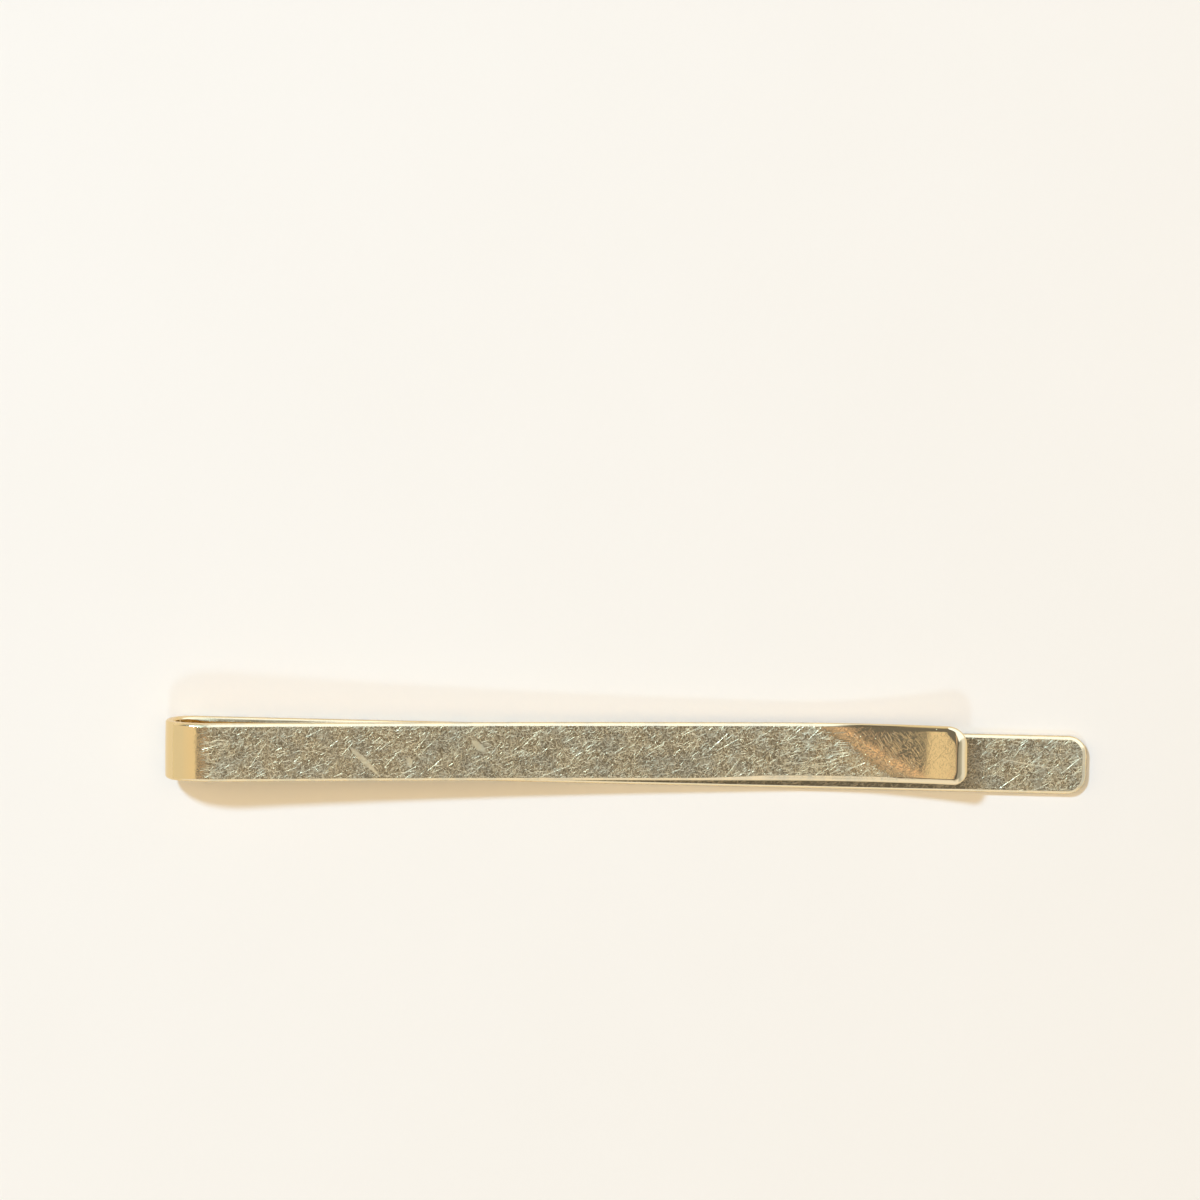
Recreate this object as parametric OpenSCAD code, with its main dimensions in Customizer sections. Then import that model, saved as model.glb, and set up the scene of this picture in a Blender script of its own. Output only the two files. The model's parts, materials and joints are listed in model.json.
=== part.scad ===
/* [Strip] */
// Width of the gold strip, across the clip
strip_w = 4.0; // [3.2:0.1:8]
// Thickness of the gold strip
strip_t = 0.65; // [0.5:0.05:0.9]
// Rounding along every edge of the strip
edge_r = 0.22; // [0.1:0.01:0.24]

/* [Front bar] */
// Overall length of the clip, from the outside of the fold to the free end of the bar
clip_len = 63.0; // [60:0.5:80]
// Corner radius, in plan, at the free end of the bar
bar_corner_r = 1.3; // [0.6:0.05:1.5]

/* [Fold] */
// Outside radius of the hairpin fold
fold_r = 1.95; // [1.6:0.05:3]
// Centreline radius of the shoulder, where the fold eases into the leg
shoulder_r = 5.5; // [4:0.5:12]
// Angle from level at which the shoulder takes over from the fold
shoulder_lean = 17; // [4:0.5:22]

/* [Spring leg] */
// Reach of the spring leg, from the outside of the fold to its tip
leg_len = 54.65; // [50:0.05:57]
// Distance from the line where the leg grips to its tip
tip_len = 11.65; // [8:0.05:15]
// Radius of the leg's gentle bow towards the bar
leg_bow_r = 600; // [400:10:1200]
// Clearance between the leg and the bar at the grip line when the clip is empty
grip_gap = 0.5; // [0.05:0.05:0.8]
// Angle, in plan, between the leg and the bar
leg_skew = 0.9; // [0:0.1:2]

/* [Flared tip] */
// Centreline radius of the upward curve at the tip
flare_r = 45.0; // [35:1:80]
// Length of the flat finger pad past the curve
pad_len = 2.0; // [1.6:0.1:3]
// Corner radius, in plan, on the side that the leg leans towards
tip_corner_far = 1.35; // [0.6:0.05:1.5]
// Corner radius, in plan, on the other side
tip_corner_near = 0.9; // [0.6:0.05:1.5]

/* [Hidden] */
$fn = 96;
// Steps round a whole circle of the leg's bow, which is a very small part of one.
bow_fn = 720;
gold = [0.83, 0.68, 0.38];

// The strip's centreline lies in the XZ plane. Its X is counted from the outside of the fold,
// and every piece is moved by fold_end to centre the clip on the origin.
fold_end = -clip_len / 2;
half_w = strip_w / 2;
half_t = strip_t / 2;

// The fold's centre lies above the end of the bar.
bend_r = fold_r - half_t;
// Distance of the grip line from the outside of the fold.
grip_x = leg_len - tip_len;
// Height of the leg's centreline over the bar's front face at the grip line.
grip_z = strip_t + grip_gap + half_t;

// The shoulder's circle touches the fold's circle from outside, so its centre lies below the bar.
shoulder_x = fold_r + (shoulder_r - bend_r) * sin(shoulder_lean);
shoulder_z = fold_r - (shoulder_r - bend_r) * cos(shoulder_lean);

// The leg's bow touches the shoulder's circle from above and holds the flare's circle inside its
// own, so its centre is this far from each of theirs.
to_shoulder = leg_bow_r + shoulder_r;
to_flare = leg_bow_r - flare_r;
flare_z = grip_z + flare_r;
reach = grip_x - shoulder_x;
drop = flare_z - shoulder_z;
apart = norm([reach, drop]);
turn = acos((apart ^ 2 + to_shoulder ^ 2 - to_flare ^ 2) / (2 * apart * to_shoulder));
bow_way = atan2(drop, reach) + turn;
bow_x = shoulder_x + to_shoulder * cos(bow_way);
bow_z = shoulder_z + to_shoulder * sin(bow_way);
// How far the leg slopes down where it leaves the shoulder, and where it meets the flare.
slope = 90 - bow_way;
last_slope = atan2(bow_x - grip_x, bow_z - flare_z);

// The flare climbs until its pad ends at the reach of the leg.
climb = asin(tip_len / norm([flare_r, pad_len])) - atan2(pad_len, flare_r);

// Section of the strip from its middle to one long edge, with both corners of that edge rounded.
module half_section(half) {
    flat = half - edge_r;
    core = half_t - edge_r;
    translate([0, -half_t]) square([flat, strip_t]);
    translate([0, -core]) square([half, 2 * core]);
    for (side = [-core, core]) translate([flat, side]) circle(edge_r);
}

// Whole section of the strip, wide along the drawing's X.
module section() {
    half_section(half_w);
    mirror([1, 0]) half_section(half_w);
}

// Bent stretch of strip round the Y axis. Angles turn from +X towards +Z.
module bend(radius, from, to) {
    rotate([90, -from, 0]) rotate_extrude(angle = to - from)
        translate([radius, 0]) rotate(90) section();
}

// Half of a strip's end on the +Y side, with one rounded corner and its edges rounded all round.
module end_half(length, corner_r) {
    inner = half_w - corner_r;
    rotate([90, 0, 90]) linear_extrude(length - corner_r) half_section(half_w);
    translate([0, inner, 0]) rotate([90, 0, 0]) linear_extrude(inner) half_section(length);
    translate([length - corner_r, inner, 0]) rotate_extrude(angle = 90) half_section(corner_r);
}

// Strip along X that finishes in a rounded end.
module rounded_end(length, corner_left, corner_right) {
    end_half(length, corner_left);
    mirror([0, 1, 0]) end_half(length, corner_right);
}

// Places a piece of the bar.
module on_bar() {
    translate([fold_end, 0, 0]) children();
}

// Places a piece of the leg, which leans over in plan from the outside of the fold.
module on_leg() {
    translate([fold_end, 0, 0]) rotate(leg_skew) children();
}

module front_bar() {
    color(gold) on_bar() translate([fold_r, 0, half_t])
        rounded_end(clip_len - fold_r, bar_corner_r, bar_corner_r);
}

module fold_lower() {
    color(gold) on_bar() translate([fold_r, 0, fold_r]) bend(bend_r, 180, 270);
}

module fold_upper() {
    color(gold) on_leg() translate([fold_r, 0, fold_r]) bend(bend_r, 90 + shoulder_lean, 180);
}

module shoulder() {
    color(gold) on_leg() translate([shoulder_x, 0, shoulder_z])
        bend(shoulder_r, 90 - slope, 90 + shoulder_lean);
}

module spring_leg() {
    color(gold) on_leg() translate([bow_x, 0, bow_z])
        bend(leg_bow_r, -90 - slope, -90 - last_slope, $fn = bow_fn);
}

// Places a piece round the centre of the flare.
module on_flare() {
    on_leg() translate([grip_x, 0, flare_z]) children();
}

module grip_curve() {
    color(gold) on_flare() bend(flare_r, -90 - last_slope, -90 + climb);
}

module finger_pad() {
    color(gold) on_flare() rotate([0, -climb, 0]) translate([0, 0, -flare_r])
        rounded_end(pad_len, tip_corner_far, tip_corner_near);
}

front_bar();
fold_lower();
fold_upper();
shoulder();
spring_leg();
grip_curve();
finger_pad();
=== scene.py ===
import json
import math

import bmesh
import bpy
import numpy as np
from mathutils import Matrix, Vector


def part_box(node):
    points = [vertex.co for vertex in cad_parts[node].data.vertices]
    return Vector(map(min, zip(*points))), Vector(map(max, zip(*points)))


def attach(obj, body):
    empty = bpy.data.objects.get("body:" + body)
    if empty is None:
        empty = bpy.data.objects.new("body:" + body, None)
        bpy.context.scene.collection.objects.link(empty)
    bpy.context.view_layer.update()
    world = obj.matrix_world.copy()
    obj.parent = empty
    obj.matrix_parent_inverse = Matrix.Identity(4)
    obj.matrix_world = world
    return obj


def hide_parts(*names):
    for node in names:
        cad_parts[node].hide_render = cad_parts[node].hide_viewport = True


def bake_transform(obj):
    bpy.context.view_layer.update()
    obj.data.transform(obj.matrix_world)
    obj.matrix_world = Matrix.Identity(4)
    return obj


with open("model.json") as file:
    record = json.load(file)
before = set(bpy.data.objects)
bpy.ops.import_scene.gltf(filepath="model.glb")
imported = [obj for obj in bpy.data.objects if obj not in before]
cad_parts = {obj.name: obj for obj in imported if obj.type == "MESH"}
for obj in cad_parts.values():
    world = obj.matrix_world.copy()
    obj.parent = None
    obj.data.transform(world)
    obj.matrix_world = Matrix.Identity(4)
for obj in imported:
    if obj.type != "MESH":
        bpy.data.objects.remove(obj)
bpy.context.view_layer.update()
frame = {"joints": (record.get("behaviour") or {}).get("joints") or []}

MM = 0.001
QUARTER = math.pi / 2

# Sizes of the clip, read from the frame where it shows them.
bar_low, bar_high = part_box("front_bar")
fold_low, fold_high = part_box("fold_lower")
hinge = frame["joints"][0]
STRIP_W = bar_high.y - bar_low.y
STRIP_T = bar_high.z - bar_low.z
FOLD_END = fold_low.x
FOLD_R = fold_high.z
BAR_END = bar_high.x
LEG_SKEW = math.atan2(hinge["axis"][0], -hinge["axis"][1])

# Sizes that no box shows, the same as in the part.
SHOULDER_R = 5.5 * MM
SHOULDER_LEAN = math.radians(17)
GRIP_GAP = 0.5 * MM
LEG_LEN = 54.65 * MM
TIP_LEN = 11.65 * MM
GRIP_X = LEG_LEN - TIP_LEN
LEG_BOW_R = 600.0 * MM
FLARE_R = 45.0 * MM
PAD_LEN = 2.0 * MM
EDGE_R = 0.22 * MM
BAR_CORNER_R = 1.3 * MM
TIP_CORNER_FAR = 1.35 * MM
TIP_CORNER_NEAR = 0.9 * MM

# How finely the strip is divided.
PATH_STEP = 0.01 * MM
ROW_STEP = 0.2 * MM
BEND_STEP = math.radians(1.5)
FACE_COLUMNS = 48
CORNER_STEPS = 14

# The bar's piece and the leg's piece meet on the bar, this far from the outside of the fold.
SEAM_X = 3.2 * MM

# How far the worn rounding reaches in from each edge of the strip.
RIM_FAR = 0.23 * MM
RIM_FAR_TIP = 0.16 * MM
RIM_NEAR = 0.21 * MM
RIM_NEAR_TIP = 0.42 * MM
RIM_BAR = 0.18 * MM
RIM_BAR_FOLD = 0.32 * MM
RIM_END = 0.3 * MM
RIM_FOLD = 0.17 * MM

# Where that reach changes along the strip, from and to. Places along the strip are lengths from
# the apex of the fold, below zero on the bar and above zero on the leg.
RIM_BAR_CHANGE = (-56.0 * MM, -52.0 * MM)
RIM_BAR_FOLD_CHANGE = (-18.0 * MM, -8.0 * MM)
RIM_FOLD_CHANGE = (1.9 * MM, 3.3 * MM)

# The change towards the tip starts this far before the tip's smooth band, and is this long.
RIM_FAR_LEAD = 3.0 * MM
RIM_NEAR_LEAD = 12.0 * MM
RIM_TIP_CHANGE = 6.0 * MM

# The strip's free ends are softened on the face that shows: how far in, and how steep at the
# edge. So is the far side beside them, where the softening fades out back from the end.
BAR_SOFT = (0.5 * MM, 0.2)
TIP_SOFT_END = (0.7 * MM, 1.35)
TIP_SOFT_SIDE = (0.5 * MM, 0.3)
SOFT_SIDE_FADE = (3.5 * MM, 7.0 * MM)
SOFT_SIDE_MIDDLE = 0.6 * MM

# Hand-finished faces: slightly crowned, most near the tip, and a little uneven. The change of
# crown is counted from the grip line. A wave is how fast it runs along and across, its phase
# and its height in millimetres.
CROWN_R = 90.0 * MM
TIP_CROWN_R = 28.0 * MM
CROWN_CHANGE = (-6.0 * MM, 2.0 * MM)
WAVE_SCALE = 4.0 * MM
WAVES = [(5.3, 0.4, 2.1, 0.0028), (-3.1, 1.9, 0.7, 0.004), (8.9, -2.3, 4.0, 0.0012)]

# The inner face's pattern is read this many millimetres along, so that the two faces differ.
INNER_SHIFT = 200.0

# The smooth places, in the fold and across the tip, lose this share of the scratches. The first
# ends beside the fold, and the second starts on a slant before the tip's smooth band.
SMOOTHED = 0.92
SCRATCH_START = (2.7 * MM, 3.9 * MM)
TIP_BAND_START = (-1.4 * MM, -0.4 * MM)
TIP_BAND_SLANT = 1.48

# The bar loses this share under the leg, until a little past the tip, and its end gains some.
SHELTERED = 0.65
SHELTER_END = (-1.0 * MM, 1.6 * MM)
END_WEAR = 0.12
END_WEAR_START = (-56.0 * MM, -61.0 * MM)

# The inner faces are dull at the fold and clear from here on, and the bar's is this much as dull
# as the leg's.
INSIDE_END = (10.0 * MM, 22.0 * MM)
INSIDE_BAR = 0.3


def centreline():
    """The strip's centreline as (length from the apex of the fold, direction of travel).

    Travel runs from the bar's end, at 180 degrees, up round the fold, at 90 degrees at its
    apex, and along the leg, near 0. Between two entries the direction changes evenly.
    """
    half_t = STRIP_T / 2
    bend_r = FOLD_R - half_t
    grip_z = STRIP_T + GRIP_GAP + half_t
    shoulder_x = FOLD_R + (SHOULDER_R - bend_r) * math.sin(SHOULDER_LEAN)
    shoulder_z = FOLD_R - (SHOULDER_R - bend_r) * math.cos(SHOULDER_LEAN)
    reach = GRIP_X - shoulder_x
    drop = grip_z + FLARE_R - shoulder_z
    apart = math.hypot(reach, drop)
    to_shoulder = LEG_BOW_R + SHOULDER_R
    to_flare = LEG_BOW_R - FLARE_R
    turn = math.acos((apart**2 + to_shoulder**2 - to_flare**2) / (2 * apart * to_shoulder))
    slope = QUARTER - math.atan2(drop, reach) - turn
    last_slope = math.asin((shoulder_x + to_shoulder * math.sin(slope) - GRIP_X) / to_flare)
    climb = math.asin(TIP_LEN / math.hypot(FLARE_R, PAD_LEN))
    climb -= math.atan2(PAD_LEN, FLARE_R)
    stretches = [
        (bend_r * (QUARTER - SHOULDER_LEAN), SHOULDER_LEAN),
        (SHOULDER_R * (SHOULDER_LEAN + slope), -slope),
        (LEG_BOW_R * (slope - last_slope), -last_slope),
        (FLARE_R * (last_slope + climb), climb),
        (PAD_LEN, climb),
    ]
    bar_len = BAR_END - FOLD_END - FOLD_R
    points = [(-bend_r * QUARTER - bar_len, math.pi), (-bend_r * QUARTER, math.pi)]
    points.append((0.0, QUARTER))
    length = 0.0
    for stretch, direction in stretches:
        length += stretch
        points.append((length, direction))
    return np.array(points)


line = centreline()
BAR_S = line[0, 0]
LEG_S = line[-1, 0]
FOLD_S = line[1, 0]
GRIP_S = line[-3, 0]
SEAM_S = FOLD_S - (SEAM_X - FOLD_R)
# Where the scratched part of the leg gives way to its smoother tip.
TIP_BAND_S = LEG_S - 6.5 * MM
# The place on the bar right under the tip.
UNDER_TIP_S = FOLD_S - (LEG_LEN - FOLD_R)


def walk():
    """Places along the centreline at even steps: length, x, z and direction."""
    s = np.arange(BAR_S, LEG_S + PATH_STEP, PATH_STEP)
    turn = np.interp(s, line[:, 0], line[:, 1])
    middle = (turn[1:] + turn[:-1]) / 2
    x = BAR_END + PATH_STEP * np.concatenate([[0], np.cumsum(np.cos(middle))])
    z = STRIP_T / 2 + PATH_STEP * np.concatenate([[0], np.cumsum(np.sin(middle))])
    return s, x, z, turn


steps = walk()


def smoothstep(low, high, value):
    """0 up to low and 1 from high on, with an eased change between them."""
    t = np.clip((value - low) / (high - low), 0, 1)
    return t * t * (3 - 2 * t)


def eased(one, two, low, high, value):
    """Goes from one to two while the value goes from low to high."""
    return one + (two - one) * float(smoothstep(low, high, value))


def rounding():
    """Profile of a worn edge: a soft facet with a rounding either side, as fractions of its size."""
    tilts = [0, 12, 20, 24, 27, 29, 32, 36, 42, 52, 64, 76, 90]
    widths = [0.03, 0.05, 0.08, 0.13, 0.14, 0.14, 0.11, 0.08, 0.08, 0.07, 0.05, 0.04]
    out, down = [0.0], [0.0]
    for low, high, width in zip(tilts, tilts[1:], widths):
        tilt = math.radians((low + high) / 2)
        out.append(out[-1] + width)
        down.append(down[-1] + width * math.tan(tilt))
    return [(o / out[-1], 1 - d / down[-1]) for o, d in zip(out, down)]


def finish_masks(s, y, n):
    """How scratched each point is, how deep inside the fold it lies, and whether it is on a rim."""
    scratched = 1 - SMOOTHED * (1 - smoothstep(*SCRATCH_START, np.abs(s)))
    past_band = s + TIP_BAND_SLANT * y - TIP_BAND_S
    scratched *= 1 - SMOOTHED * smoothstep(*TIP_BAND_START, past_band)
    under_leg = (n < 0) * (s < 0) * (1 - smoothstep(*SHELTER_END, UNDER_TIP_S - s))
    scratched *= 1 - SHELTERED * under_leg
    scratched *= 1 + END_WEAR * smoothstep(*END_WEAR_START, s)
    inside = (n < 0) * (1 - smoothstep(*INSIDE_END, np.abs(s)))
    inside = inside * np.where(s < 0, INSIDE_BAR, 1.0)
    rim = np.clip((STRIP_T / 2 - np.abs(n)) / (EDGE_R / 8), 0, 1)
    return {"scratched": scratched, "inside": inside, "rim": rim}


class Strip:
    """A length of strip from a square cut to a rounded end. Its far side is towards +Y.

    Points are given on the flat strip, before it is bent: s along it, y across it, and n from
    its middle, outwards from the hairpin.
    """

    def __init__(self, end, corner_far, corner_near, soft_face, soft_end, soft_side):
        self.end = end
        self.way = 1 if end > SEAM_S else -1
        self.corner = {1: corner_far, -1: corner_near}
        self.soft_face = soft_face
        self.soft_end = soft_end
        self.soft_side = soft_side
        self.points = []
        self.faces = []
        self.places = []

    def rim(self, s, side):
        """How far the rounding reaches in from the edge on one side."""
        near = side < 0
        reach = RIM_NEAR if near else RIM_FAR
        if s < 0:
            reach = eased(reach, RIM_BAR, *RIM_BAR_CHANGE, s)
            if not near:
                reach = eased(reach, RIM_BAR_FOLD, *RIM_BAR_FOLD_CHANGE, s)
        tip_reach = RIM_NEAR_TIP if near else RIM_FAR_TIP
        start = TIP_BAND_S - (RIM_NEAR_LEAD if near else RIM_FAR_LEAD)
        reach = eased(reach, tip_reach, start, start + RIM_TIP_CHANGE, s)
        return eased(RIM_FOLD, reach, *RIM_FOLD_CHANGE, abs(s))

    def border(self, s, side):
        """Where the flat of the face stops on one side, and the way from there to the edge."""
        corner = self.corner[side]
        rim = self.rim(s, side)
        past = corner - abs(self.end - s)
        a = math.asin(min(1.0, max(0.0, past / (corner - RIM_END))))
        y = STRIP_W / 2 - corner + (corner - rim) * math.cos(a)
        return side * y, self.way * RIM_END * math.sin(a), side * rim * math.cos(a)

    def rows(self):
        """Places of the rows from the cut to the flat's end, close together in bends and corners."""
        largest = max(self.corner.values())
        last = self.end - self.way * largest
        marks = [v for v in line[:, 0] if SEAM_S < v < last or last < v < SEAM_S]
        marks = [SEAM_S, *marks[:: self.way], last]
        rows = [SEAM_S]
        for a, b in zip(marks, marks[1:]):
            turned = abs(np.subtract(*np.interp([a, b], line[:, 0], line[:, 1])))
            count = max(1, math.ceil(abs(b - a) / ROW_STEP), math.ceil(turned / BEND_STEP))
            rows += list(a + (b - a) * np.arange(1, count + 1) / count)
        turns = np.linspace(0, QUARTER, CORNER_STEPS + 1)[1:]
        gaps = set()
        for corner in self.corner.values():
            gaps |= {round(corner - (corner - RIM_END) * math.sin(a), 9) for a in turns}
        return rows + [self.end - self.way * gap for gap in sorted(gaps, reverse=True)]

    def softness(self, s, y):
        """How far the softened end of a face lies below the rest of it."""
        along = np.abs(self.end - s)
        across = STRIP_W / 2 - np.abs(y)
        corner = np.where(y > 0, self.corner[1], self.corner[-1])
        round_in = corner - np.hypot(corner - along, corner - across)
        in_corner = (along < corner) & (across < corner)
        inside = np.where(in_corner, round_in, np.minimum(along, across))
        turned = np.arctan2(np.maximum(0, corner - along), np.maximum(1e-9, corner - across))
        at_end = smoothstep(0, 1, turned / QUARTER)
        at_side = (1 - at_end) * (1 - smoothstep(*SOFT_SIDE_FADE, along))
        at_side = at_side * smoothstep(-SOFT_SIDE_MIDDLE, SOFT_SIDE_MIDDLE, y)
        drop = 0.0
        for share, (reach, slope) in ((at_end, self.soft_end), (at_side, self.soft_side)):
            drop = drop + share * slope * np.maximum(0, reach - inside) ** 2 / (2 * reach)
        return drop

    def bent(self, s, y, n):
        """Points of the flat strip, bent along the centreline and leant over in plan."""
        place, xs, zs, turns = steps
        tip = smoothstep(*CROWN_CHANGE, s - GRIP_S)
        drop = y**2 / 2 * ((1 - tip) / CROWN_R + tip / TIP_CROWN_R)
        for along, across, phase, height in WAVES:
            wave = np.sin((along * s + across * y) / WAVE_SCALE + phase)
            drop += height * MM * (1 + wave)
        n = n * (1 - drop / (STRIP_T / 2))
        rise = STRIP_T / 2 + n * self.soft_face
        n = self.soft_face * (rise * (1 - self.softness(s, y) / STRIP_T) - STRIP_T / 2)
        turn = np.interp(s, place, turns)
        x = np.interp(s, place, xs) - n * np.sin(turn) - FOLD_END
        z = np.interp(s, place, zs) + n * np.cos(turn)
        angle = LEG_SKEW * smoothstep(FOLD_S, -FOLD_S, s)
        across = x * np.sin(angle) + y * np.cos(angle)
        return np.stack([FOLD_END + x * np.cos(angle) - y * np.sin(angle), across, z], axis=-1)

    def point(self, s, y, n):
        """Adds a point and returns its number."""
        self.points.append((s, y, n))
        return len(self.points) - 1

    def face(self, corners, places):
        """Adds a face, with its corners' places in the pattern in millimetres."""
        self.faces.append(corners)
        self.places += [(u / MM, v / MM) for u, v in places]

    def build(self, name):
        """Makes the outer and the inner face in rows and columns, and the edge between them."""
        rows = self.rows()
        spread = np.sin(np.linspace(-QUARTER, QUARTER, FACE_COLUMNS + 1))
        grids = []
        for sign in (1, -1):
            shift = INNER_SHIFT * MM if sign < 0 else 0
            grid = []
            for s in rows:
                far = self.border(s, 1)[0]
                near = self.border(s, -1)[0]
                ys = (far + near) / 2 + spread[::-1] * (far - near) / 2
                grid.append([self.point(s, y, sign * STRIP_T / 2) for y in ys])
            grids.append(grid)
            for low, high in zip(grid, grid[1:]):
                for quad in zip(low, low[1:], high[1:], high):
                    spots = [self.points[i][:2] for i in quad]
                    self.face(quad, [(sign * s + shift, y) for s, y in spots])
        self.edge_band(rows, *grids)
        return self.finish(name)

    def edge_band(self, rows, outer, inner):
        """Rounds the edge from the outer face to the inner one, and closes the cut."""
        core = STRIP_T / 2 - EDGE_R
        profile = [(out, core + EDGE_R * up) for out, up in rounding()]
        profile += [(out, -n) for out, n in reversed(profile)]
        leaps = np.diff(np.array(profile) * [EDGE_R, 1], axis=0)
        travel = np.concatenate([[0], np.cumsum(np.hypot(*leaps.T))])
        last = len(rows) - 1
        outline = [(i, 0) for i in range(last)]
        outline += [(last, j) for j in range(FACE_COLUMNS + 1)]
        outline += [(i, FACE_COLUMNS) for i in range(last - 1, -1, -1)]
        band = []
        for i, j in outline:
            s, y, _ = self.points[outer[i][j]]
            share = j / FACE_COLUMNS
            _, far_s, far_y = self.border(rows[i], 1)
            _, near_s, near_y = self.border(rows[i], -1)
            ds = (1 - share) * far_s + share * near_s
            dy = (1 - share) * far_y + share * near_y
            length = math.hypot(ds, dy)
            ids = [outer[i][j]]
            ids += [self.point(s + ds * out, y + dy * out, n) for out, n in profile[1:-1]]
            ids.append(inner[i][j])
            spots = [(s + ds / length * t, y + dy / length * t) for t in travel]
            band.append((ids, spots))
        for (one, spots_one), (two, spots_two) in zip(band, band[1:]):
            for k in range(len(profile) - 1):
                quad = (one[k], one[k + 1], two[k + 1], two[k])
                spots = (spots_one[k], spots_one[k + 1], spots_two[k + 1], spots_two[k])
                self.face(quad, spots)
        cap = band[0][0] + inner[0][1:-1] + band[-1][0][::-1] + outer[0][-2:0:-1]
        self.cap = set(cap)
        self.face(cap, [(self.points[i][0] + self.points[i][2], self.points[i][1]) for i in cap])

    def finish(self, name):
        """The bent mesh, with its pattern places and the masks of its finish."""
        s, y, n = np.array(self.points).T
        mesh = bpy.data.meshes.new(name)
        mesh.from_pydata(self.bent(s, y, n).tolist(), [], self.faces)
        uv = mesh.uv_layers.new(name="strip")
        uv.data.foreach_set("uv", np.array(self.places, dtype=np.float32).ravel())
        for label, values in finish_masks(s, y, n).items():
            layer = mesh.attributes.new(label, "FLOAT", "POINT")
            layer.data.foreach_set("value", values.astype(np.float32))
        mesh.polygons.foreach_set("use_smooth", [True] * len(mesh.polygons))
        for edge in mesh.edges:
            a, b = edge.vertices
            edge.use_edge_sharp = a in self.cap and b in self.cap
        work = bmesh.new()
        work.from_mesh(mesh)
        bmesh.ops.recalc_face_normals(work, faces=work.faces)
        work.to_mesh(mesh)
        work.free()
        piece = bpy.data.objects.new(name, mesh)
        bpy.context.scene.collection.objects.link(piece)
        return piece


class Graph:
    """A short way to write a node tree."""

    def __init__(self, tree):
        self.tree = tree
        tree.nodes.clear()

    def set_input(self, node, name, value):
        """Links a socket to an input, or sets the input to a plain value."""
        if isinstance(value, bpy.types.NodeSocket):
            self.tree.links.new(value, node.inputs[name])
        else:
            node.inputs[name].default_value = value

    def add(self, kind, inputs=None, **settings):
        node = self.tree.nodes.new(kind)
        for name, value in settings.items():
            setattr(node, name, value)
        for name, value in (inputs or {}).items():
            self.set_input(node, name, value)
        return node

    def math(self, operation, *values, clamp=False):
        inputs = dict(enumerate(values))
        node = self.add("ShaderNodeMath", inputs, operation=operation, use_clamp=clamp)
        return node.outputs[0]

    def degrees(self, rise, run):
        """The angle of a rise over a run."""
        return self.math("MULTIPLY", self.math("ARCTAN2", rise, run), math.degrees(1))

    def vector(self, operation, *values):
        inputs = dict(enumerate(values))
        node = self.add("ShaderNodeVectorMath", inputs, operation=operation)
        return node.outputs["Value" if operation == "DOT_PRODUCT" else "Vector"]

    def turned(self, vector, angle):
        """A vector turned in the plane of the strip."""
        inputs = {"Vector": vector, "Angle": angle}
        return self.add("ShaderNodeVectorRotate", inputs, rotation_type="Z_AXIS").outputs[0]

    def parts(self, vector):
        node = self.add("ShaderNodeSeparateXYZ", {"Vector": vector})
        return node.outputs["X"], node.outputs["Y"], node.outputs["Z"]

    def between(self, value, low, high, to_low=0.0, to_high=1.0):
        """Goes from to_low to to_high, eased, while the value goes from low to high."""
        inputs = {"Value": value, "From Min": low, "From Max": high}
        inputs |= {"To Min": to_low, "To Max": to_high}
        node = self.add("ShaderNodeMapRange", inputs, interpolation_type="SMOOTHSTEP")
        return node.outputs["Result"]

    def mix(self, factor, one, two):
        """A colour between two. The node keeps its colours in the inputs numbered 6 and 7."""
        node = self.add("ShaderNodeMix", {0: factor, 6: one, 7: two}, data_type="RGBA")
        return node.outputs[2]

    def noise(self, vector, scale, detail, roughness):
        inputs = {"Vector": vector, "Scale": scale, "Detail": detail, "Roughness": roughness}
        return self.add("ShaderNodeTexNoise", inputs).outputs["Fac"]


def scratch_group():
    """Straight scratches, one in each cell of a scattered grid, as the depth of a V groove."""
    tree = bpy.data.node_groups.new("scratches", "ShaderNodeTree")
    sockets = tree.interface
    sockets.new_socket(name="Place", in_out="INPUT", socket_type="NodeSocketVector")
    for label in ("Cell length", "Cell width", "Lean", "Spread", "Thickness", "Share"):
        sockets.new_socket(name=label, in_out="INPUT", socket_type="NodeSocketFloat")
    sockets.new_socket(name="Depth", in_out="OUTPUT", socket_type="NodeSocketFloat")
    g = Graph(tree)
    given = g.add("NodeGroupInput").outputs
    sides = {"X": given["Cell length"], "Y": given["Cell width"], "Z": 1.0}
    size = g.add("ShaderNodeCombineXYZ", sides).outputs[0]
    level = g.turned(given["Place"], g.math("MULTIPLY", given["Lean"], -1.0))
    cells = g.vector("DIVIDE", level, size)
    seeds = g.add(
        "ShaderNodeTexVoronoi",
        {"Vector": cells, "Scale": 1.0, "Randomness": 1.0},
        voronoi_dimensions="2D",
    ).outputs
    away = g.vector("MULTIPLY", g.vector("SUBTRACT", cells, seeds["Position"]), size)
    red, green, blue = g.parts(seeds["Color"])
    angle = g.math("MULTIPLY", g.math("SUBTRACT", red, 0.5), given["Spread"])
    along, across, _ = g.parts(g.turned(away, angle))
    reach = g.math("MULTIPLY", given["Cell length"], g.math("MULTIPLY_ADD", blue, 0.4, 0.25))
    ends = g.between(g.math("DIVIDE", g.math("ABSOLUTE", along), reach), 1.0, 0.6)
    groove = g.math("DIVIDE", g.math("ABSOLUTE", across), given["Thickness"])
    groove = g.math("SUBTRACT", 1.0, groove, clamp=True)
    present = g.math("LESS_THAN", green, given["Share"])
    bold = g.math("FRACT", g.math("MULTIPLY", green, 37.0))
    bold = g.math("MULTIPLY_ADD", bold, 1.5, 0.4)
    depth = g.math("MULTIPLY", g.math("MULTIPLY", groove, ends), g.math("MULTIPLY", present, bold))
    g.add("NodeGroupOutput", {"Depth": depth})
    return tree


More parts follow.
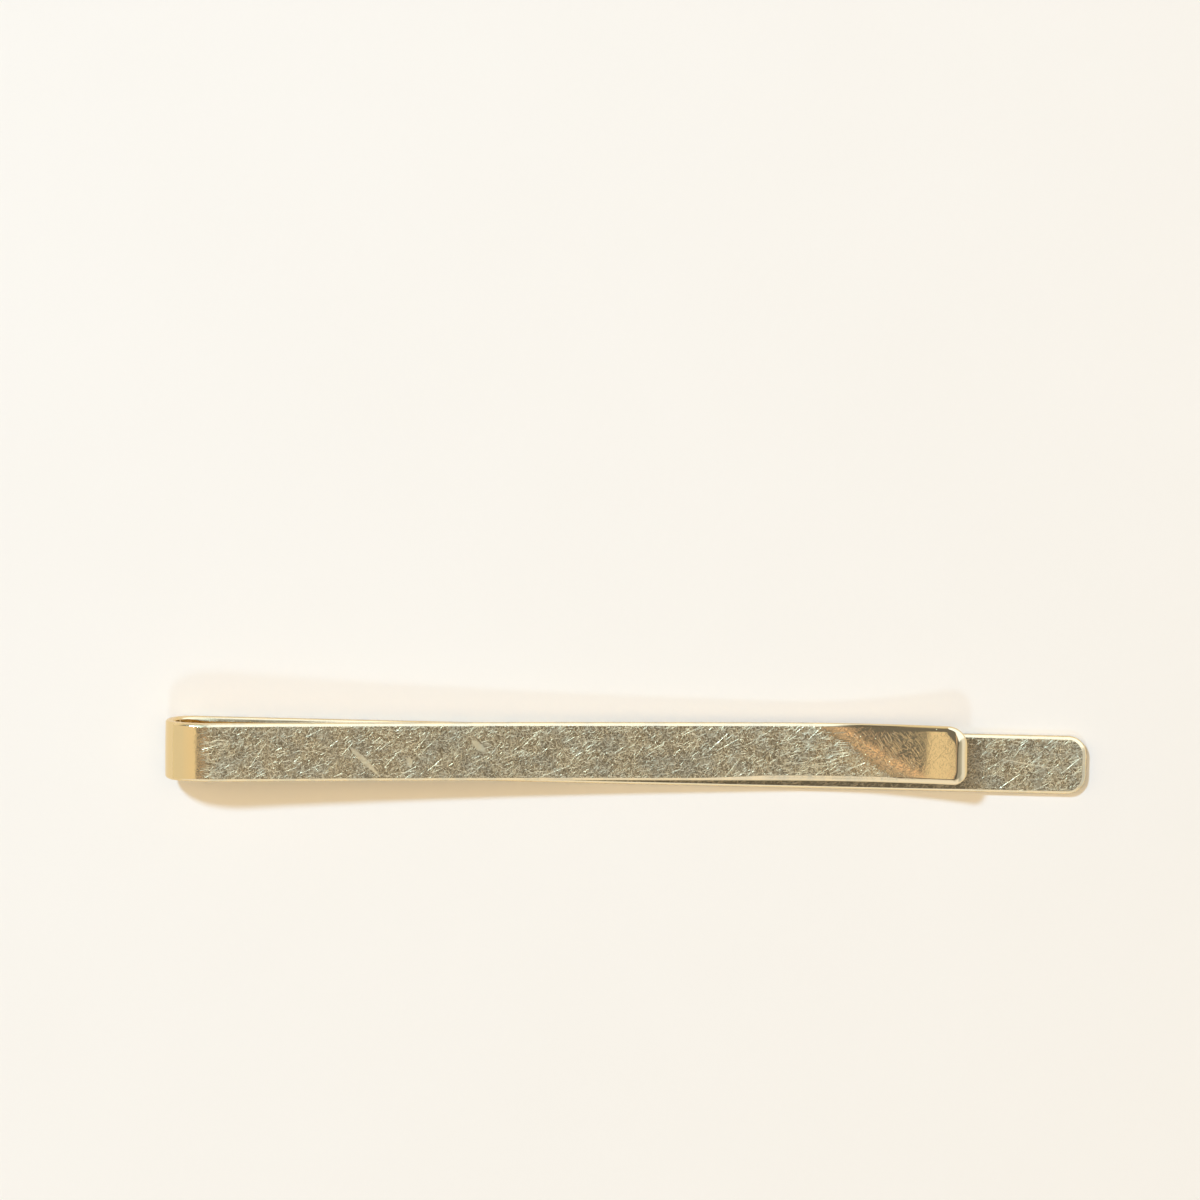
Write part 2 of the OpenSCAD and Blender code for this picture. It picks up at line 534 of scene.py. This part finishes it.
def scratch_layer(g, group, place, length, width, lean, spread, thickness, share):
    """One layer of scratches. The share is how many of the grid's cells hold one."""
    node = g.add("ShaderNodeGroup", node_tree=group)
    values = {"Place": place, "Cell length": length, "Cell width": width, "Share": share}
    values |= {"Lean": math.radians(lean), "Spread": math.radians(spread), "Thickness": thickness}
    for name, value in values.items():
        g.set_input(node, name, value)
    return node.outputs["Depth"]


# Gold's own colour, and the bluish film that dulls its scratched faces.
GOLD = (0.82, 0.63, 0.335, 1)
GOLD_DULL = (0.69, 0.56, 0.325, 1)

# Scratches all over, from short to long: the length and width of a cell of their grid, lean,
# spread of the lean, thickness, share of cells that hold one, and depth. Sizes are in
# millimetres and angles in degrees, here and below.
SCRATCHES = [
    (0.26, 0.12, 20, 360, 0.022, 1.0, 0.0041),
    (0.50, 0.16, 50, 360, 0.022, 1.0, 0.0042),
    (0.9, 0.14, 27, 80, 0.022, 0.8, 0.0047),
    (2.2, 0.55, 30, 60, 0.022, 0.5, 0.0050),
    (5.0, 1.8, 28, 100, 0.024, 0.4, 0.0055),
]

# Fibres of rubbed metal under the scratches: lean, how fine along and across, and depth.
FIBRES = [(27, 2.4, 14, 0.0030), (-48, 3, 14, 0.0024), (95, 3, 14, 0.0021)]

# Finer scratches of the leg's curves: first and last place along it, the length and width of a
# cell, lean, spread, depth, and how far they dull the gold. The level ones lie at the fold and
# before the tip, and the others fall to the right across the tip.
CURVE_SCRATCHES = [
    (2.7, 5.6, 1.0, 0.13, 3, 34, 0.004, 1.0),
    (42.4, 47.9, 1.4, 0.13, 3, 34, 0.005, 1.0),
    (46.6, 52.6, 1.1, 0.11, -46, 36, 0.0042, 0.0),
    (46.6, 52.6, 0.4, 0.08, -30, 160, 0.002, 0.0),
]
CURVE_SCRATCH_THICKNESS = 0.026
CURVE_SCRATCH_SHARE = 0.8
CURVE_SCRATCH_FADE = 1.0

# Marks at places of their own, in millimetres along and across the strip, from end to end.
# Both faces count from the apex of the fold, the bar's inner face from INNER_SHIFT on.
LONG_SCRATCHES = [
    ((11.3, -1.5), (12.65, -0.55)),
    ((17.0, 0.25), (18.3, 0.85)),
    ((21.95, -0.85), (24.2, 0.45)),
    ((8.55, 1.0), (9.15, 0.5)),
    ((257.06, -0.9), (257.86, -0.2)),
    ((259.0, -0.9), (260.7, 0.35)),
    ((260.36, -1.2), (262.4, 0.8)),
]
LONG_SCRATCH_WIDTH = 0.035
LONG_SCRATCH_DEPTH = 0.014
GOUGE = ((13.0, 0.65), (15.5, -1.8))
GOUGE_WIDTH = 0.5
SMUDGES = [
    ((17.3, -0.25), (17.4, -1.05)),
    ((21.5, 0.9), (22.7, -0.15)),
]
SMUDGE_WIDTH = 0.6


def stroke(g, place, start, end, width):
    """A mark from one place to another: 1 along its middle, fading to 0 at its outline."""
    ahead = (Vector(end) - Vector(start)) / 2
    middle = (Vector(end) + Vector(start)) / 2
    half = ahead.length
    ahead.normalize()
    away = g.vector("SUBTRACT", place, (*middle, 0))
    along = g.math("DIVIDE", g.vector("DOT_PRODUCT", away, (*ahead, 0)), half)
    across = g.math("DIVIDE", g.vector("DOT_PRODUCT", away, (-ahead.y, ahead.x, 0)), width / 2)
    left = g.math("SUBTRACT", 1.0, g.math("MULTIPLY", along, along))
    return g.math("SUBTRACT", left, g.math("ABSOLUTE", across), clamp=True)


def scraped(g, place):
    """The gouge and the smudges, broken up by fine noise."""
    marks = stroke(g, place, *GOUGE, GOUGE_WIDTH)
    for start, end in SMUDGES:
        marks = g.math("MAXIMUM", marks, stroke(g, place, start, end, SMUDGE_WIDTH))
    broken = g.math("ADD", g.noise(place, 7.0, 4.0, 0.7), 0.5)
    return g.between(g.math("MULTIPLY", marks, broken), 0.05, 0.5)


def all_over(g, group, place):
    """Height of the worn metal, and how much the scratches and the fibres cover."""
    grooves = 0.0
    cover = 0.0
    for *layer, depth in SCRATCHES:
        marks = scratch_layer(g, group, place, *layer)
        grooves = g.math("MULTIPLY_ADD", marks, -depth, grooves)
        cover = g.math("MAXIMUM", cover, marks)
    grain = 0.0
    dashes = 0.0
    for lean, along, across, depth in FIBRES:
        level = g.turned(place, -math.radians(lean))
        fibres = g.noise(g.vector("MULTIPLY", level, (along, across, 1)), 1.0, 2.0, 0.6)
        grain = g.math("MULTIPLY_ADD", fibres, depth, grain)
        dashes = g.math("MAXIMUM", dashes, fibres)
    dimples = g.noise(place, 2.2, 3.0, 0.55)
    height = g.math("MULTIPLY_ADD", dimples, 0.02, g.math("ADD", grooves, grain))
    return height, cover, dashes


def curve_scratches(g, group, place, height, on_face):
    """Adds the finer scratches of the curves, which stop short of the far edge.

    Returns the height and how much the level ones cover.
    """
    along, across, _ = g.parts(place)
    on_face = g.math("MULTIPLY", on_face, g.between(across, 1.75, 1.25))
    level = 0.0
    for first, last, length, width, lean, spread, depth, haze in CURVE_SCRATCHES:
        look = (length, width, lean, spread, CURVE_SCRATCH_THICKNESS, CURVE_SCRATCH_SHARE)
        marks = scratch_layer(g, group, place, *look)
        start = g.between(along, first, first + CURVE_SCRATCH_FADE)
        stop = g.between(along, last, last - CURVE_SCRATCH_FADE)
        here = g.math("MULTIPLY", g.math("MULTIPLY", start, stop), on_face)
        marks = g.math("MULTIPLY", marks, here)
        height = g.math("MULTIPLY_ADD", marks, -depth, height)
        level = g.math("MULTIPLY_ADD", marks, haze, level)
    return height, level


def worn_gold():
    """Polished gold, worn by scratches: its pattern is read in millimetres along the strip."""
    material = bpy.data.materials.new("worn_gold")
    material.use_nodes = True
    g = Graph(material.node_tree)
    place = g.add("ShaderNodeUVMap", uv_map="strip").outputs[0]
    rim = g.add("ShaderNodeAttribute", attribute_name="rim").outputs["Fac"]
    scratched = g.add("ShaderNodeAttribute", attribute_name="scratched").outputs["Fac"]
    inside = g.add("ShaderNodeAttribute", attribute_name="inside").outputs["Fac"]

    # The rims are smoother than the faces.
    group = scratch_group()
    on_face = g.math("MULTIPLY_ADD", rim, -0.9, 1.0)
    height, cover, dashes = all_over(g, group, place)
    height = g.math("MULTIPLY", height, g.math("MULTIPLY", scratched, on_face))
    height, level = curve_scratches(g, group, place, height, on_face)
    for start, end in LONG_SCRATCHES:
        mark = stroke(g, place, start, end, LONG_SCRATCH_WIDTH)
        height = g.math("MULTIPLY_ADD", mark, -LONG_SCRATCH_DEPTH, height)
    bump = g.add("ShaderNodeBump", {"Height": height, "Distance": MM, "Strength": 1.0})

    # The dull film lies in patches.
    patches = g.between(g.noise(place, 0.6, 3.0, 0.6), 0.40, 0.64)
    tint = g.mix(g.math("MULTIPLY", patches, scratched), GOLD, GOLD_DULL)

    # The scratched faces are hazy, more so at the fibres and grooves, with brighter specks.
    cloud = g.between(g.noise(place, 1.1, 5.0, 0.7), 0.36, 0.64)
    speck = g.between(g.noise(place, 6.0, 2.0, 0.6), 0.64, 0.72)
    haze = g.math("MULTIPLY_ADD", cloud, 0.10, 0.12)
    haze = g.math("MULTIPLY_ADD", g.between(dashes, 0.52, 0.74), 0.20, haze)
    haze = g.math("MULTIPLY_ADD", g.between(cover, 0.0, 0.5), 0.10, haze)
    haze = g.math("MULTIPLY_ADD", speck, -0.15, haze)
    worn = g.math("MULTIPLY", scratched, g.math("MULTIPLY_ADD", rim, -0.7, 1.0))
    rough = g.math("MULTIPLY_ADD", haze, worn, g.math("MULTIPLY_ADD", patches, 0.02, 0.035))
    rough = g.math("MULTIPLY_ADD", g.between(level, 0.0, 0.8), 0.20, rough)

    # The rims are duller round the fold than elsewhere, and the fold's inside is dull too.
    from_fold = g.math("ABSOLUTE", g.parts(place)[0])
    rough = g.math("MULTIPLY_ADD", rim, g.between(from_fold, 4.5, 2.8, 0.04, 0.2), rough)
    rough = g.math("MULTIPLY_ADD", inside, 0.2, rough)
    rough = g.math("MULTIPLY_ADD", scraped(g, place), 0.25, rough)
    shader = g.add(
        "ShaderNodeBsdfPrincipled",
        {"Base Color": tint, "Metallic": 1.0, "Roughness": rough, "Normal": bump.outputs[0]},
    )
    g.add("ShaderNodeOutputMaterial", {"Surface": shader.outputs[0]})
    return material


def cream_paper():
    """Matt cream paper with faint mottling and tooth."""
    material = bpy.data.materials.new("cream_paper")
    material.use_nodes = True
    g = Graph(material.node_tree)
    place = g.add("ShaderNodeTexCoord").outputs["Object"]
    mottle = g.noise(place, 60.0, 4.0, 0.6)
    tint = g.mix(mottle, (0.925, 0.893, 0.823, 1), (0.945, 0.915, 0.85, 1))
    tooth = g.noise(place, 1800.0, 3.0, 0.6)
    bump = g.add("ShaderNodeBump", {"Height": tooth, "Distance": 0.03 * MM, "Strength": 0.5})
    inputs = {"Base Color": tint, "Roughness": 0.9, "Specular IOR Level": 0.1}
    inputs["Normal"] = bump.outputs[0]
    shader = g.add("ShaderNodeBsdfPrincipled", inputs)
    g.add("ShaderNodeOutputMaterial", {"Surface": shader.outputs[0]})
    return material


def dress_clip():
    """The bar and the sprung leg, each one length of strip."""
    gold = worn_gold()
    bar = Strip(
        end=BAR_S,
        corner_far=BAR_CORNER_R,
        corner_near=BAR_CORNER_R,
        soft_face=-1,
        soft_end=BAR_SOFT,
        soft_side=BAR_SOFT,
    ).build("front_bar_strip")
    leg = Strip(
        end=LEG_S,
        corner_far=TIP_CORNER_FAR,
        corner_near=TIP_CORNER_NEAR,
        soft_face=1,
        soft_end=TIP_SOFT_END,
        soft_side=TIP_SOFT_SIDE,
    ).build("spring_leg_strip")
    for piece in (bar, leg):
        piece.data.materials.append(gold)
    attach(bar, "bar")
    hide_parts("front_bar")
    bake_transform(leg)
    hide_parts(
        "fold_lower", "fold_upper", "shoulder", "spring_leg", "grip_curve", "finger_pad"
    )


dress_clip()

# The photograph's frame, in pixels, and the place in it of the clip's origin.
FRAME_PX = 1200
ORIGIN_PX = (626.5, 754.4)
PX_SIZE = 0.0683 * MM
CAMERA_FAR = 450 * MM
CAMERA_TILT = math.radians(7.9)
CAMERA_ROLL = math.radians(1.33)


def place_camera():
    """Looks down on the clip with a long lens, from a little beyond its far side."""
    right = Vector((math.cos(CAMERA_ROLL), math.sin(CAMERA_ROLL), 0))
    ahead = Vector((-math.sin(CAMERA_ROLL), math.cos(CAMERA_ROLL), 0))
    back = ahead * math.sin(CAMERA_TILT) + Vector((0, 0, math.cos(CAMERA_TILT)))
    up = back.cross(right)
    shift_x = (ORIGIN_PX[0] - FRAME_PX / 2) * PX_SIZE
    shift_y = (ORIGIN_PX[1] - FRAME_PX / 2) * PX_SIZE / math.cos(CAMERA_TILT)
    aim = ahead * shift_y - right * shift_x
    data = bpy.data.cameras.new("camera")
    data.sensor_width = 36.0
    data.lens = data.sensor_width * CAMERA_FAR / (FRAME_PX * PX_SIZE)
    data.clip_start = 0.02
    camera = bpy.data.objects.new("camera", data)
    turn = Matrix((right, up, back)).transposed().to_4x4()
    camera.matrix_world = Matrix.Translation(aim + back * CAMERA_FAR) @ turn
    bpy.context.scene.collection.objects.link(camera)
    bpy.context.scene.camera = camera


place_camera()

# Half the side of the paper, which is far larger than the view.
PAPER_HALF = 1.5


def lay_paper():
    """The paper that the clip lies on."""
    half = PAPER_HALF
    corners = [(-half, -half, 0), (half, -half, 0), (half, half, 0), (-half, half, 0)]
    mesh = bpy.data.meshes.new("paper")
    mesh.from_pydata(corners, [], [(0, 1, 2, 3)])
    paper = bpy.data.objects.new("paper", mesh)
    bpy.context.scene.collection.objects.link(paper)
    mesh.materials.append(cream_paper())


lay_paper()


def area_light(name, azimuth, elevation, size, power, colour):
    """A round lamp that faces the clip from 1 m. Azimuth 0 is towards +X and 90 towards +Y."""
    a, e = math.radians(azimuth), math.radians(elevation)
    away = Vector((math.cos(a) * math.cos(e), math.sin(a) * math.cos(e), math.sin(e)))
    data = bpy.data.lights.new(name, "AREA")
    data.shape = "DISK"
    data.size = size
    data.energy = power
    data.color = colour
    lamp = bpy.data.objects.new(name, data)
    lamp.location = away
    lamp.rotation_mode = "QUATERNION"
    lamp.rotation_quaternion = away.to_track_quat("Z", "Y")
    bpy.context.scene.collection.objects.link(lamp)
    return lamp


# The key light casts the shadow. The card in front lifts it, and isn't mirrored in the gold.
area_light("key", azimuth=130, elevation=50.8, size=0.11, power=7.27, colour=(0.405, 0.659, 1.0))
card = area_light(
    "front_card", azimuth=-97, elevation=52, size=0.14, power=1.3, colour=(0.5, 0.74, 1.0)
)
card.visible_glossy = False

# Colours across the ceiling, by angle in degrees from the right of overhead to the left of it.
CEILING = [
    (-20, (0.44, 0.48, 0.57, 1)),
    (-8, (0.15, 0.15, 0.16, 1)),
    (-3, (0.10, 0.10, 0.105, 1)),
    (5, (0.24, 0.25, 0.28, 1)),
    (9.6, (0.52, 0.47, 0.46, 1)),
    (11.0, (1.08, 0.82, 0.68, 1)),
    (12.6, (1.08, 0.80, 0.64, 1)),
    (13.0, (0.20, 0.21, 0.24, 1)),
]
CEILING_REACH = 20.0

# Colours of the walls near the ceiling and further down, of the window, and of the soft light
# that reaches matt surfaces.
WALL_TOP = (0.16, 0.15, 0.14, 1)
WALL = (0.97, 0.93, 0.85, 1)
LEFT_WALL_TOP = (0.97, 0.875, 0.735, 1)
LEFT_WALL = (0.89, 0.86, 0.79, 1)
FRONT_WALL = (1.08, 1.15, 1.38, 1)
RIGHT_WALL_TOP = (0.50, 0.56, 0.68, 1)
RIGHT_WALL = (0.98, 1.10, 1.40, 1)
WINDOW = (1.5, 1.8, 2.5, 1)
SOFT_LIGHT = (1.81, 1.356, 0.794, 1)
SOFT_SHADE = (0.146, 0.115, 0.065, 1)


def ceiling(g, left, far):
    """Bands of the ceiling, which run a little aslant."""
    aslant = g.math("MULTIPLY_ADD", far, 0.9, g.math("ADD", left, 8.1))
    across = g.between(aslant, -CEILING_REACH, CEILING_REACH)
    node = g.add("ShaderNodeValToRGB", {"Fac": across})
    ramp = node.color_ramp
    ramp.elements.remove(ramp.elements[1])
    for index, (angle, colour) in enumerate(CEILING):
        position = float(smoothstep(-CEILING_REACH, CEILING_REACH, angle))
        element = ramp.elements[0] if index == 0 else ramp.elements.new(position)
        element.position = position
        element.color = colour
    return node.outputs["Color"]


def past_ceiling(g, left, far, sideways):
    """How many degrees a direction points past the ceiling's edge, below zero inside it."""
    left_edge = g.between(sideways, 0.22, 0.40, 20.2, 55.0)
    past = g.math("MAXIMUM", g.math("SUBTRACT", left, left_edge), g.math("SUBTRACT", -34.0, left))
    past = g.math("MAXIMUM", past, g.math("SUBTRACT", far, 34.0))
    return g.math("MAXIMUM", past, g.math("SUBTRACT", -36.0, far))


def walls(g, x, z, left, far, sideways):
    """The walls, which change colour on the way down: cream on the left, and pale in front and on
    the right.
    """
    above_floor = g.between(z, 0.1, 0.3)
    wall = g.mix(g.between(z, 0.55, 0.25), WALL_TOP, WALL)
    on_left = g.math("MULTIPLY", g.between(left, 12.0, 16.0), g.between(sideways, 0.5, 0.3))
    wall = g.mix(on_left, wall, g.mix(g.between(left, 24.0, 46.0), LEFT_WALL_TOP, LEFT_WALL))
    middle = g.between(g.math("ABSOLUTE", x), 0.75, 0.5)
    in_front = g.math("MULTIPLY", g.between(far, -36.0, -42.0), middle)
    wall = g.mix(g.math("MULTIPLY", in_front, above_floor), wall, FRONT_WALL)
    on_right = g.math("MULTIPLY", g.between(left, -28.0, -36.0), g.between(sideways, 0.6, 0.4))
    pale = g.mix(g.between(left, -36.0, -74.0), RIGHT_WALL_TOP, RIGHT_WALL)
    return g.mix(g.math("MULTIPLY", on_right, above_floor), wall, pale)


def window(g, z, round_about):
    """Where the window is, beyond the clip and to the right. Its top and its sill both slope."""
    top = g.between(round_about, 70.0, 52.0, 0.83, 0.93)
    sill = g.between(round_about, 75.0, 55.0, 0.24, 0.14)
    over_sill = g.between(g.math("SUBTRACT", z, sill), -0.04, 0.04)
    under_top = g.between(g.math("SUBTRACT", z, top), 0.02, -0.02)
    pane = g.math("MULTIPLY", over_sill, under_top)
    pane = g.math("MULTIPLY", pane, g.between(round_about, 12.0, 20.0))
    return g.math("MULTIPLY", pane, g.between(round_about, 101.0, 95.0))


def mirrored_room(g, way):
    """The room that the polished gold mirrors: a dim ceiling, walls round it and a window."""
    x, y, z = g.parts(way)
    left = g.degrees(g.math("MULTIPLY", x, -1.0), z)
    far = g.degrees(y, z)
    sideways = g.math("ABSOLUTE", g.math("ADD", y, 0.14))
    on_walls = g.between(past_ceiling(g, left, far, sideways), -0.2, 0.3)
    wall = walls(g, x, z, left, far, sideways)
    room = g.mix(on_walls, ceiling(g, left, far), wall)
    return g.mix(window(g, z, g.degrees(y, x)), room, WINDOW)


def soft_light(g, way):
    """Plain warm light from a broad band that runs from the left over the top."""
    x, y, _ = g.parts(way)
    outside = g.math("ABSOLUTE", g.math("SUBTRACT", y, 0.12))
    outside = g.math("MAXIMUM", outside, g.math("SUBTRACT", x, 0.25))
    return g.mix(g.between(outside, 0.15, 0.55), SOFT_LIGHT, SOFT_SHADE)


def room_light():
    """Lights matt surfaces softly, and shows mirrors and the camera the room."""
    world = bpy.data.worlds.new("room")
    bpy.context.scene.world = world
    world.use_nodes = True
    g = Graph(world.node_tree)
    way = g.add("ShaderNodeTexCoord").outputs["Generated"]
    rays = g.add("ShaderNodeLightPath").outputs
    mirrored = g.math("MAXIMUM", rays["Is Camera Ray"], rays["Is Glossy Ray"])
    mirrored = g.math("MAXIMUM", mirrored, rays["Is Transmission Ray"])
    colour = g.mix(mirrored, soft_light(g, way), mirrored_room(g, way))
    shader = g.add("ShaderNodeBackground", {"Color": colour, "Strength": 1.0})
    g.add("ShaderNodeOutputWorld", {"Surface": shader.outputs[0]})


room_light()

bpy.context.scene.view_settings.view_transform = "Standard"
